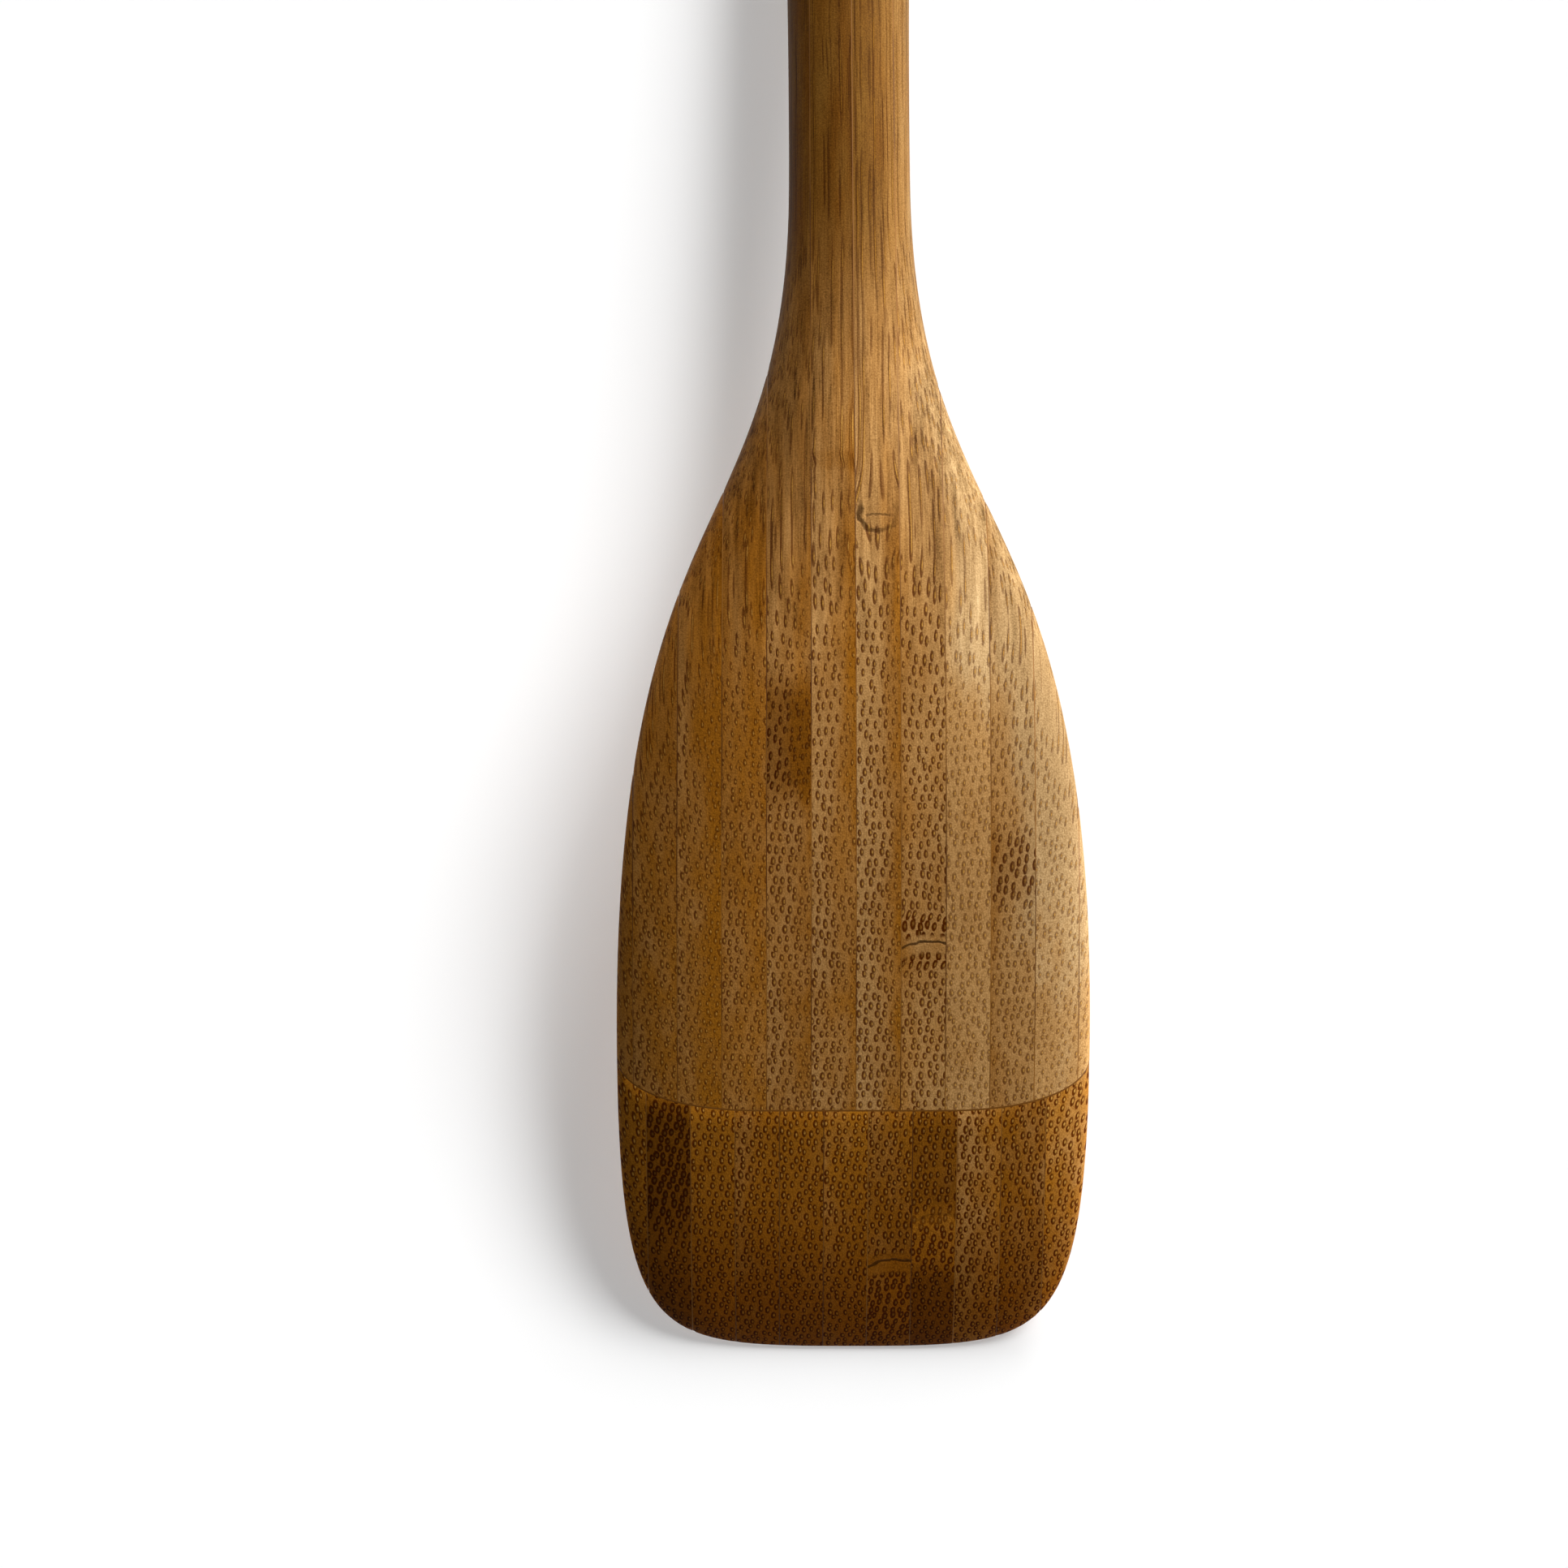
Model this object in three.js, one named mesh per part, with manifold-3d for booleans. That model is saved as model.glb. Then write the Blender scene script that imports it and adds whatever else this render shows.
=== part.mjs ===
// Bamboo spatula, in millimetres, +Z up. Bamboo strips are glued on edge into two plies, and the
// spatula is carved from that block with its handle along the fibres. It lies face up on its front
// edge and its handle's end, with the front edge towards -Y and the handle towards +Y.

import * as THREE from "three";
import { ParametricGeometry } from "three/addons/geometries/ParametricGeometry.js";
import { mergeVertices } from "three/addons/utils/BufferGeometryUtils.js";
import Module from "manifold-3d";

// Plan, as half outlines along the top face, measured back from the middle of the front edge
const LENGTH = 340;
const BLADE_WIDTH = 64;
const BLADE_WIDEST_AT = 46;
const FRONT_EDGE_WIDTH = 54;
const SHOULDER_REACH = 79;
const NECK_WIDTH = 17.3;
const NECK_AT = 172;
const NECK_REACH = 56;
const GRIP_WIDTH = 21;
const GRIP_AT = 300;
const GRIP_REACH = 50;
const END_ROUNDING = 13;

// Side profile: a straight handle, and a blade that curls down from it in one arc
const CURL_RADIUS = 170;
const CURL_STARTS_AT = 125;
const TIP_THICKNESS = 3.4;
const BLADE_THICKNESS = 6.4;
const BLADE_THICKNESS_AT = 60;
const HANDLE_THICKNESS = 11;
const HANDLE_THICKNESS_AT = 145;

// Cross section: a crowned top face that rolls over to the rim, and a flat underside with eased edges
const CROWN_BAND = 20;
const CROWN_POWER = 2.2;
const UNDERSIDE_BAND = 4;
const UNDERSIDE_POWER = 2;
const RIM_DEPTH_SHARE = 0.62;

// Lamination: strip pitch, glue thickness, where the glue lines of each ply run, and the joint
// between the plies, as a depth below the top of the handle
const STRIP_PITCH = 6;
const GLUE_THICKNESS = 0.12;
const UPPER_GLUE_LINE_X = 0.3;
const LOWER_GLUE_LINE_X = 2;
const PLY_JOINT_DEPTH = 22.4;
const SAW_ALLOWANCE = 5;
const SAWDUST_VOLUME = 0.05;

// Mesh counts
const FRONT_ROWS = 11;
const SHOULDER_ROWS = 17;
const HANDLE_ROWS = 5;
const END_ROWS = 6;
const COLUMNS = 12;
const RIM_PIECES_PER_ROW = 6;
const LEAST_HALF_WIDTH = 1e-6;
const HALVINGS = 50;

// Finishes
const STRIP_TONES = [0x9a6a34, 0x8c5f2c, 0xa67a42, 0x7f5526, 0x966832];
const STRIP_ROUGHNESS = 0.5;
const GLUE_TONE = 0x3a2410;
const GLUE_ROUGHNESS = 0.6;

const wasm = await Module();
wasm.setup();

// Half outline as (half width, distance from the front edge): the front edge and its corner, the
// shoulder down to the neck, the handle, and its rounded end
function halfOutline() {
  const point = (half, along) => new THREE.Vector2(half, along);
  const blade = BLADE_WIDTH / 2;
  const neck = NECK_WIDTH / 2;
  const grip = GRIP_WIDTH / 2;
  const endStart = LENGTH - END_ROUNDING;
  return [
    {
      rows: FRONT_ROWS,
      curve: new THREE.CubicBezierCurve(
        point(0, 0),
        point(FRONT_EDGE_WIDTH / 2, 0),
        point(blade, 0),
        point(blade, BLADE_WIDEST_AT),
      ),
    },
    {
      rows: SHOULDER_ROWS,
      curve: new THREE.CubicBezierCurve(
        point(blade, BLADE_WIDEST_AT),
        point(blade, BLADE_WIDEST_AT + SHOULDER_REACH),
        point(neck, NECK_AT - NECK_REACH),
        point(neck, NECK_AT),
      ),
    },
    {
      rows: HANDLE_ROWS,
      curve: new THREE.CubicBezierCurve(
        point(neck, NECK_AT),
        point(neck, NECK_AT + GRIP_REACH),
        point(grip, GRIP_AT - GRIP_REACH),
        point(grip, GRIP_AT),
      ),
    },
    { rows: 1, curve: new THREE.LineCurve(point(grip, GRIP_AT), point(grip, endStart)) },
    {
      rows: END_ROWS,
      curve: new THREE.EllipseCurve(0, endStart, grip, END_ROUNDING, 0, Math.PI / 2),
    },
  ];
}

const outline = halfOutline();

// The outline's straight pieces, for measuring how far a point lies inside it
const rim = outline
  .flatMap(({ curve, rows }) => curve.getPoints(rows * RIM_PIECES_PER_ROW))
  .map((p) => new THREE.Vector3(p.x, p.y, 0))
  .flatMap((p, i, all) => (i === 0 ? [] : [new THREE.Line3(all[i - 1], p)]));

// Least distance from a point of the plan to the outline
function distanceToRim(x, along) {
  const here = new THREE.Vector3(Math.abs(x), along, 0);
  const nearest = new THREE.Vector3();
  const gaps = rim.map((piece) => piece.closestPointToPoint(here, true, nearest).distanceTo(here));
  return Math.min(...gaps);
}

// Thickness at a distance from the front edge, easing from the tip to the blade and on to the handle
function thicknessAt(along) {
  const toBlade = THREE.MathUtils.smoothstep(along, 0, BLADE_THICKNESS_AT);
  const toHandle = THREE.MathUtils.smoothstep(along, BLADE_THICKNESS_AT, HANDLE_THICKNESS_AT);
  return (
    TIP_THICKNESS +
    (BLADE_THICKNESS - TIP_THICKNESS) * toBlade +
    (HANDLE_THICKNESS - BLADE_THICKNESS) * toHandle
  );
}

// 0 at the rim, rising to 1 a band's width inside it, square to the plan at the rim itself
function dome(gap, band, power) {
  const short = Math.max(0, 1 - gap / band);
  return Math.sqrt(1 - short ** power);
}

// A point of the top face or the underside, in the block's frame: fibres along Y, and the origin
// where the top of the handle starts to curl
function surfacePoint(x, half, along, isTop) {
  const isInside = half > LEAST_HALF_WIDTH && Math.abs(x) < half;
  const gap = isInside ? distanceToRim(x, along) : 0;
  const room = Math.max(half, LEAST_HALF_WIDTH);
  const thickness = thicknessAt(along);
  const rimDepth = RIM_DEPTH_SHARE * thickness;
  const crown = dome(gap, Math.min(CROWN_BAND, room), CROWN_POWER);
  const easing = dome(gap, Math.min(UNDERSIDE_BAND, room), UNDERSIDE_POWER);
  const height = isTop ? -rimDepth * (1 - crown) : -rimDepth - (thickness - rimDepth) * easing;
  const turn = Math.max(0, CURL_STARTS_AT - along) / CURL_RADIUS;
  const straight = Math.max(0, along - CURL_STARTS_AT);
  const y = straight - (CURL_RADIUS + height) * Math.sin(turn);
  const z = height * Math.cos(turn) - CURL_RADIUS * (1 - Math.cos(turn));
  return new THREE.Vector3(x, y, z);
}

// The carved shape as one closed mesh: rings round the top face and the underside, from the front
// edge back to the handle's end, where they close to a point
function carvedGeometry() {
  const rows = outline.flatMap(({ curve, rows: count }, i) => curve.getPoints(count).slice(i && 1));
  const ring = (around, back, target) => {
    const row = rows[Math.round(back * (rows.length - 1))];
    const isTop = around <= 0.5;
    const across = isTop ? 4 * around - 1 : 3 - 4 * around;
    const x = row.x * Math.sin((Math.PI / 2) * across);
    target.copy(surfacePoint(x, row.x, row.y, isTop));
  };
  return new ParametricGeometry(ring, 2 * COLUMNS, rows.length - 1);
}

// A closed geometry with its shared vertices merged and the faces that this closes to a line left out
function closed(geometry) {
  const bare = new THREE.BufferGeometry()
    .setAttribute("position", geometry.getAttribute("position"))
    .setIndex(geometry.index);
  const merged = mergeVertices(bare);
  const corners = [...merged.index.array];
  const faces = [];
  for (let i = 0; i < corners.length; i += 3) {
    const face = corners.slice(i, i + 3);
    if (new Set(face).size === 3) faces.push(...face);
  }
  return merged.setIndex(faces);
}

// A closed geometry as a solid that can be cut
function solidOf(geometry) {
  const { attributes, index } = closed(geometry);
  return new wasm.Manifold(
    new wasm.Mesh({
      numProp: 3,
      vertProperties: new Float32Array(attributes.position.array),
      triVerts: new Uint32Array(index.array),
    }),
  );
}

// A solid back as a geometry to draw
function geometryOf(solid) {
  const { vertProperties, triVerts } = solid.getMesh();
  const geometry = new THREE.BufferGeometry()
    .setAttribute("position", new THREE.BufferAttribute(vertProperties, 3))
    .setIndex(new THREE.BufferAttribute(triVerts, 1));
  geometry.computeVertexNormals();
  return geometry;
}

const carved = carvedGeometry();
carved.computeBoundingBox();
const sawn = carved.boundingBox.clone().expandByScalar(SAW_ALLOWANCE);
const carvedSolid = solidOf(carved);

// What the carving leaves of a sawn bar of the block
function carve(left, right, bottom, top) {
  const length = sawn.max.y - sawn.min.y;
  const bar = new THREE.BoxGeometry(right - left, length, top - bottom);
  bar.translate((left + right) / 2, (sawn.min.y + sawn.max.y) / 2, (bottom + top) / 2);
  return carvedSolid
    .intersect(solidOf(bar))
    .decompose()
    .filter((body) => body.volume() > SAWDUST_VOLUME);
}

const block = new THREE.Group();

// Adds the bodies that the carving left of one bar
function addBodies(bodies, name, material) {
  bodies.forEach((body, i) => {
    const mesh = new THREE.Mesh(geometryOf(body), material);
    mesh.name = i === 0 ? name : `${name}_part_${i + 1}`;
    block.add(mesh);
  });
}

const stripFinishes = STRIP_TONES.map(
  (color) => new THREE.MeshStandardMaterial({ color, roughness: STRIP_ROUGHNESS, metalness: 0 }),
);
const glueFinish = new THREE.MeshStandardMaterial({
  color: GLUE_TONE,
  roughness: GLUE_ROUGHNESS,
  metalness: 0,
});

// Names places counted outward from a ply's middle glue line
const side = (place) => (place < 0 ? `left_${-place}` : `right_${place}`);

// One ply: strips on edge from rim to rim, with a glue line between each pair
function addPly(name, glueLineX, bottom, top) {
  const halfGlue = GLUE_THICKNESS / 2;
  const first = Math.floor((carved.boundingBox.min.x - glueLineX) / STRIP_PITCH);
  const last = Math.ceil((carved.boundingBox.max.x - glueLineX) / STRIP_PITCH);
  for (let i = first; i < last; i++) {
    const line = glueLineX + i * STRIP_PITCH;
    const glue = carve(line - halfGlue, line + halfGlue, bottom, top);
    const strip = carve(line + halfGlue, line + STRIP_PITCH - halfGlue, bottom, top);
    const finish = stripFinishes[(i - first) % stripFinishes.length];
    addBodies(glue, `${name}_glue_line_${i === 0 ? "middle" : side(i)}`, glueFinish);
    addBodies(strip, `${name}_strip_${side(i < 0 ? i : i + 1)}`, finish);
  }
}

const jointTop = GLUE_THICKNESS / 2 - PLY_JOINT_DEPTH;
const jointBottom = -GLUE_THICKNESS / 2 - PLY_JOINT_DEPTH;
addPly("upper", UPPER_GLUE_LINE_X, jointTop, sawn.max.z);
addPly("lower", LOWER_GLUE_LINE_X, sawn.min.z, jointBottom);
addBodies(carve(sawn.min.x, sawn.max.x, jointBottom, jointTop), "ply_glue_line", glueFinish);

// Height of the carved shape's lowest point at one end, with the block tilted about X
function lowestPoint(tilt, atHandle) {
  const position = carved.getAttribute("position");
  const heights = Array.from({ length: position.count }, (_, i) =>
    position.getY(i) > 0 === atHandle
      ? position.getZ(i) * Math.cos(tilt) + position.getY(i) * Math.sin(tilt)
      : Infinity,
  );
  return Math.min(...heights);
}

// The tilt at which the front edge and the handle's end touch the table together, by halving
function restTilt() {
  let low = -Math.PI / 2;
  let high = Math.PI / 2;
  for (let i = 0; i < HALVINGS; i++) {
    const middle = (low + high) / 2;
    if (lowestPoint(middle, true) < lowestPoint(middle, false)) low = middle;
    else high = middle;
  }
  return (low + high) / 2;
}

// The origin is on the table, under the middle of the spatula's box
block.rotation.x = restTilt();
const spatula = new THREE.Group();
spatula.add(block);
const resting = new THREE.Box3().setFromObject(spatula, true);
block.position.y = -(resting.min.y + resting.max.y) / 2;
block.position.z = -resting.min.z;

export default spatula;
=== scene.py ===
"""Dresses the bamboo spatula: fine strips and glue lines in oiled bamboo, on a white table."""

import logging
import math
from dataclasses import dataclass, field
from enum import Enum
from typing import Any

import bmesh
import bpy
import numpy as np
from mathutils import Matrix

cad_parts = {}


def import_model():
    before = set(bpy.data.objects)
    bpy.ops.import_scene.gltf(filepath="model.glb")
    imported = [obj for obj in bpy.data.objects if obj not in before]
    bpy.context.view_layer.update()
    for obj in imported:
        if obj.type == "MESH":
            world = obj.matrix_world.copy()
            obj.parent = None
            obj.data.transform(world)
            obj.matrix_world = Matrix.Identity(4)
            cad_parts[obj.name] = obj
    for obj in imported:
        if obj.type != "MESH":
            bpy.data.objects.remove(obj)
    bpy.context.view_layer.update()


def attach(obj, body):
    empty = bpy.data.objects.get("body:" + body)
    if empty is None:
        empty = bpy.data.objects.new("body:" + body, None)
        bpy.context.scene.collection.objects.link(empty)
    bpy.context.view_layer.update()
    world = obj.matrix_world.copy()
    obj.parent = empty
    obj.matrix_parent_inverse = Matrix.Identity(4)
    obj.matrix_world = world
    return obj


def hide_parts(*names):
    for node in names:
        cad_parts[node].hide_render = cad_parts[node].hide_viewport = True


LOG = logging.getLogger("spatula")
MM = 0.001
RIGHT_ANGLE = math.pi / 2
OUT_OF_REACH = 1000.0

Array = np.ndarray
Colour = tuple[float, float, float, float]
Span = tuple[float, float]


def colour(red: int, green: int, blue: int) -> Colour:
    """Turns a display colour of 0 to 255 a channel into a linear one, by the usual display curve."""
    shares = np.array([red, green, blue]) / 255
    linear = np.where(shares <= 0.04045, shares / 12.92, ((shares + 0.055) / 1.055) ** 2.4)
    return (float(linear[0]), float(linear[1]), float(linear[2]), 1.0)


def smooth_step(value: Array, low: float, high: float) -> Array:
    """Rises from 0 at low to 1 at high, level at both ends: 3 q squared less 2 q cubed."""
    share = np.clip((value - low) / (high - low), 0, 1)
    return share * share * (3 - 2 * share)


class Face(Enum):
    """The two faces of the carved shape."""

    TOP = "top"
    UNDERSIDE = "underside"


@dataclass(frozen=True)
class CarvedShape:
    """The carved spatula in millimetres, in the frame of the block it was carved from.

    Fibres run along Y, and the origin is where the top of the handle starts to curl.
    """

    length: float = 340
    blade_half: float = 32
    blade_widest_at: float = 46
    front_edge_half: float = 27
    shoulder_reach: float = 79
    neck_half: float = 8.65
    neck_at: float = 172
    neck_reach: float = 56
    grip_half: float = 10.5
    grip_at: float = 300
    grip_reach: float = 50
    end_rounding: float = 13
    curl_radius: float = 170
    curl_starts_at: float = 125
    tip_thickness: float = 3.4
    blade_thickness: float = 6.4
    blade_thickness_at: float = 60
    handle_thickness: float = 11
    handle_thickness_at: float = 145
    crown_band: float = 20
    crown_power: float = 2.2
    underside_band: float = 4
    underside_power: float = 2
    rim_depth_share: float = 0.62
    tilt: float = math.radians(-6.118893577813055)
    place: tuple[float, float, float] = (0, -48.05782780866948, 33.44386035944102)
    piece_rows: tuple[int, ...] = (40, 70, 44, 8, 18)
    rim_points: int = 61
    least_half: float = 1e-6
    rim_margin: float = 1e-9

    def corners(self) -> list[list[tuple[float, float]]]:
        """Gives the control points of the half outline's pieces, as (half width, along).

        Returns:
            Four control points for each piece, front edge first, without the rounded end, which is
            a quarter ellipse.
        """
        end_start = self.length - self.end_rounding
        middle = (self.grip_at + end_start) / 2
        blade, neck, grip = self.blade_half, self.neck_half, self.grip_half
        widest, waist, straight = self.blade_widest_at, self.neck_at, self.grip_at
        shoulder, below_waist = widest + self.shoulder_reach, waist - self.neck_reach
        above_waist, below_grip = waist + self.grip_reach, straight - self.grip_reach
        return [
            [(0, 0), (self.front_edge_half, 0), (blade, 0), (blade, widest)],
            [(blade, widest), (blade, shoulder), (neck, below_waist), (neck, waist)],
            [(neck, waist), (neck, above_waist), (grip, below_grip), (grip, straight)],
            [(grip, straight), (grip, middle), (grip, middle), (grip, end_start)],
        ]

    def outline(self, row: Array) -> tuple[Array, Array]:
        """Gives the half width and the distance along at a place on the outline.

        Each piece but the last is a cubic Bezier curve, the sum of its four points weighted by
        (1-t)^3, 3t(1-t)^2, 3t^2(1-t) and t^3. The last is a quarter ellipse, cosine and sine.

        Args:
            row: Places counted in mesh rows from the front edge, of any shape.

        Returns:
            Half widths and distances along, shaped as the rows.
        """
        knots = np.concatenate([[0], np.cumsum(self.piece_rows)])
        spot = np.interp(row, knots, np.arange(len(knots)))
        last = len(self.piece_rows) - 1
        turn = RIGHT_ANGLE * np.clip(spot - last, 0, 1)
        half = self.grip_half * np.cos(turn)
        along = self.length - self.end_rounding * (1 - np.sin(turn))
        for number, points in reversed(list(enumerate(self.corners()))):
            t = np.clip(spot - number, 0, 1)
            weights = ((1 - t) ** 3, 3 * t * (1 - t) ** 2, 3 * t * t * (1 - t), t**3)
            on_piece = spot <= number + 1
            half = np.where(on_piece, sum(w * p[0] for w, p in zip(weights, points)), half)
            along = np.where(on_piece, sum(w * p[1] for w, p in zip(weights, points)), along)
        return half, along

    def last_row(self) -> float:
        """Gives the row count of the whole outline, which is the handle's end."""
        return float(sum(self.piece_rows))

    def distance_to_rim(self, x: Array, along: Array) -> Array:
        """Measures how far points of the plan lie inside the outline.

        The least over the outline's straight pieces of the distance to the nearest point of each.

        Args:
            x: Places across, of any shape.
            along: Distances from the front edge, shaped as x.

        Returns:
            Distances, shaped as x.
        """
        knots = np.concatenate([[0], np.cumsum(self.piece_rows)])
        steps = np.arange(0, len(self.piece_rows), 1 / self.rim_points)
        spots = np.interp(steps, np.arange(len(knots)), knots)
        rim = np.stack(self.outline(np.append(spots, self.last_row())), axis=-1)
        start, step = rim[:-1], np.diff(rim, axis=0)
        flat = np.stack([np.abs(x).ravel(), along.ravel()], axis=-1)[:, None, :]
        share = ((flat - start) * step).sum(-1) / (step * step).sum(-1)
        nearest = start + np.clip(share, 0, 1)[..., None] * step
        return np.sqrt(((flat - nearest) ** 2).sum(-1).min(1)).reshape(x.shape)

    def thickness(self, along: Array) -> Array:
        """Gives the thickness, easing from the tip to the blade and on to the handle."""
        to_blade = smooth_step(along, 0, self.blade_thickness_at)
        to_handle = smooth_step(along, self.blade_thickness_at, self.handle_thickness_at)
        return (
            self.tip_thickness
            + (self.blade_thickness - self.tip_thickness) * to_blade
            + (self.handle_thickness - self.blade_thickness) * to_handle
        )

    @staticmethod
    def dome(gap: Array, band: Array, power: float) -> Array:
        """Rises from 0 at the rim to 1 a band inside: root of 1 less (1 - gap/band) to the power."""
        return np.sqrt(1 - np.maximum(0, 1 - gap / band) ** power)

    def surface(self, row: Array, left: float, right: float, share: Array, face: Face) -> Array:
        """Gives points of one face of a bar of the block, in the block's frame.

        Across a row, x is the half width times the sine of a quarter turn times v, with v even
        between the bar's sides, so columns crowd towards the rim. The face lies a dome's drop under
        the top, and where the blade curls it is bent round the arc: y and z are sine and cosine of
        the turn times the arc's radius.

        Args:
            row: Places along the outline, in rows.
            left: The bar's left side.
            right: The bar's right side.
            share: Place across the bar from 0 at its left to 1 at its right, shaped as row.
            face: Which face.

        Returns:
            Points, shaped as row with a last axis of three.
        """
        half, along = self.outline(row)
        room = np.maximum(half, self.least_half)
        low = np.arcsin(np.clip(left / room, -1, 1))
        high = np.arcsin(np.clip(right / room, -1, 1))
        sine = np.sin(low + (high - low) * share)
        x = half * sine
        inside = np.abs(sine) < 1 - self.rim_margin
        gap = np.where(inside, self.distance_to_rim(x, along), 0)
        thickness = self.thickness(along)
        rim_depth = self.rim_depth_share * thickness
        if face is Face.TOP:
            easing = self.dome(gap, np.minimum(self.crown_band, room), self.crown_power)
            height = -rim_depth * (1 - easing)
        else:
            easing = self.dome(gap, np.minimum(self.underside_band, room), self.underside_power)
            height = -rim_depth - (thickness - rim_depth) * easing
        turn = np.maximum(0, self.curl_starts_at - along) / self.curl_radius
        straight = np.maximum(0, along - self.curl_starts_at)
        y = straight - (self.curl_radius + height) * np.sin(turn)
        z = height * np.cos(turn) - self.curl_radius * (1 - np.cos(turn))
        return np.stack([x, y, z], axis=-1)

    def to_world(self, points: Array) -> Array:
        """Turns points of the block by its tilt about X, moves them to their place, in metres."""
        cosine, sine = math.cos(self.tilt), math.sin(self.tilt)
        x, y, z = np.moveaxis(points, -1, 0)
        turned = np.stack([x, y * cosine - z * sine, y * sine + z * cosine], axis=-1)
        return (turned + np.array(self.place)) * MM


@dataclass(frozen=True)
class CulmNode:
    """A mark where a joint of the bamboo stem crosses a strip.

    Attributes:
        at: Place along the fibres, in the block's frame, or out of reach for no mark.
        reach: How far the mark spreads along the fibres.
        strokes: How much the bundles swell, darken and lean.
        crack: Strength of the arched line across the strip and the bare band round it.
        shade: How much darker the patch is, or paler below 0.
        loop: Strength of the knot's curved line.
        line: How far past the mark's middle the arched line lies.
    """

    at: float = OUT_OF_REACH
    reach: float = 6
    strokes: float = 0
    crack: float = 0
    shade: float = 0
    loop: float = 0
    line: float = 0


@dataclass(frozen=True)
class Timber:
    """How the bamboo of one strip looks.

    Attributes:
        tone: How light it is.
        warm_left: How far its left side is from pale inner wood, 0, to warm outer wood, 1; below 0 it
            turns to a painted sheen.
        warm_right: The same of its right side.
        culm: The stem joint in it.
        bundle: Size of its fibre bundles.
        fade: How much its bundles fade towards warm wood.
        ink: How dark its bundles are.
    """

    tone: float = 1
    warm_left: float = 0.3
    warm_right: float = 0.9
    culm: CulmNode = CulmNode()
    bundle: float = 1
    fade: float = 1
    ink: float = 1


def lower_timber(
    tone: float, warm_left: float, warm_right: float, culm: CulmNode = CulmNode()
) -> Timber:
    """Gives the timber of a strip of the lower ply, with wide, dark bundles from side to side."""
    return Timber(tone, warm_left, warm_right, culm, bundle=1.06, fade=0.2, ink=1.15)


@dataclass(frozen=True)
class Bar:
    """One bar of the block, a strip or a glue line, before carving.

    Attributes:
        node: The name of the solid that it stands for.
        left: Its left side.
        right: Its right side.
        columns: Mesh columns across it.
        timber: How its bamboo looks.
        seed: A shift that gives it a grain of its own.
    """

    node: str
    left: float
    right: float
    columns: int
    timber: Timber = Timber()
    seed: float = 0


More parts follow.
